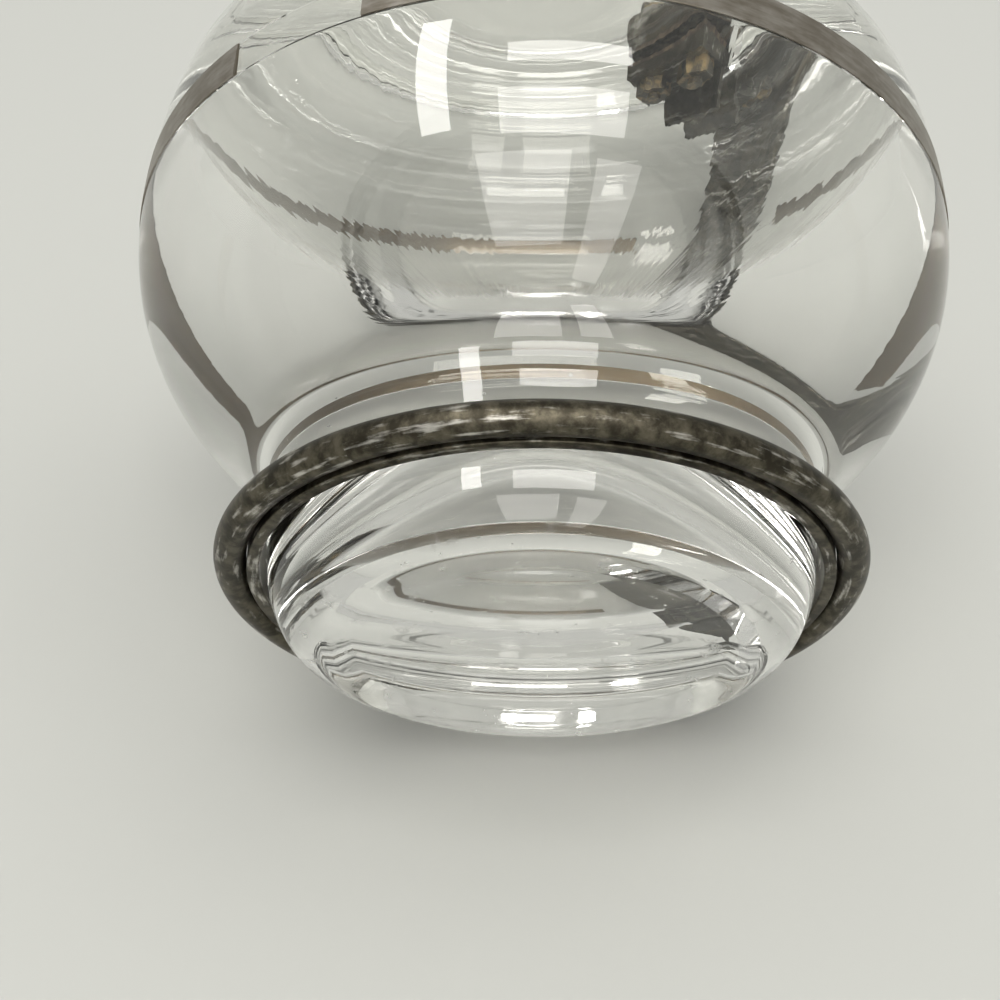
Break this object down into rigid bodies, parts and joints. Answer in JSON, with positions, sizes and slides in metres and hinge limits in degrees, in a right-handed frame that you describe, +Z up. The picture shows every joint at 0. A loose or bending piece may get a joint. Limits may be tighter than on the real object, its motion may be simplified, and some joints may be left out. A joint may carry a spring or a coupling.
{
  "type": "glass creamer with a strap handle and a hinged lid",
  "caption": "Round clear glass creamer with a pulled spout, plated base ring, waist band and strap handle, and a hinged glass lid.",
  "frame": {"origin": "centre of the foot, on the surface that the creamer stands on; this is the axis of the round glass body", "axes": "+Z up, +X towards the handle, -X towards the spout, the lid's hinge axis along +Y"},
  "size_m": [0.0946, 0.0858, 0.0758],
  "materials": {
    "body_glass": "clear, thick, faintly warm, with small bubbles and wear on the foot",
    "lid_glass": "clear, polished",
    "band_plate": "silver plate with light brown tarnish",
    "tarnished_plate": "silver plate, heavily tarnished, rubbed bright on the bead",
    "rivet_brass": "plated brass, plate worn through",
    "pad": "thin cork and rubber pad"
  },
  "bodies": {
    "pitcher": {"glass_body": "body_glass", "waist_band_left": "band_plate", "waist_band_right": "band_plate", "base_ring_bead": "tarnished_plate", "base_ring_collar": "tarnished_plate", "handle_strap": "tarnished_plate", "hinge_bracket": "tarnished_plate", "rim_clip_inner": "tarnished_plate", "rim_clip_outer": "tarnished_plate", "bracket_rivets": "rivet_brass", "hinge_pin": "rivet_brass"},
    "lid": {"lid_glass": "lid_glass", "lid_leaf": "band_plate", "lid_jaw": "band_plate", "lid_pad_upper": "pad", "lid_pad_lower": "pad", "lid_screws": "rivet_brass", "lid_nuts": "rivet_brass"}
  },
  "joints": [
    {"name": "lid_hinge", "type": "hinge", "parent": "pitcher", "child": "lid", "pos_m": [0.0395, 0, 0.072], "axis": [0, 1, 0], "range_deg": [0, 100]}
  ]
}
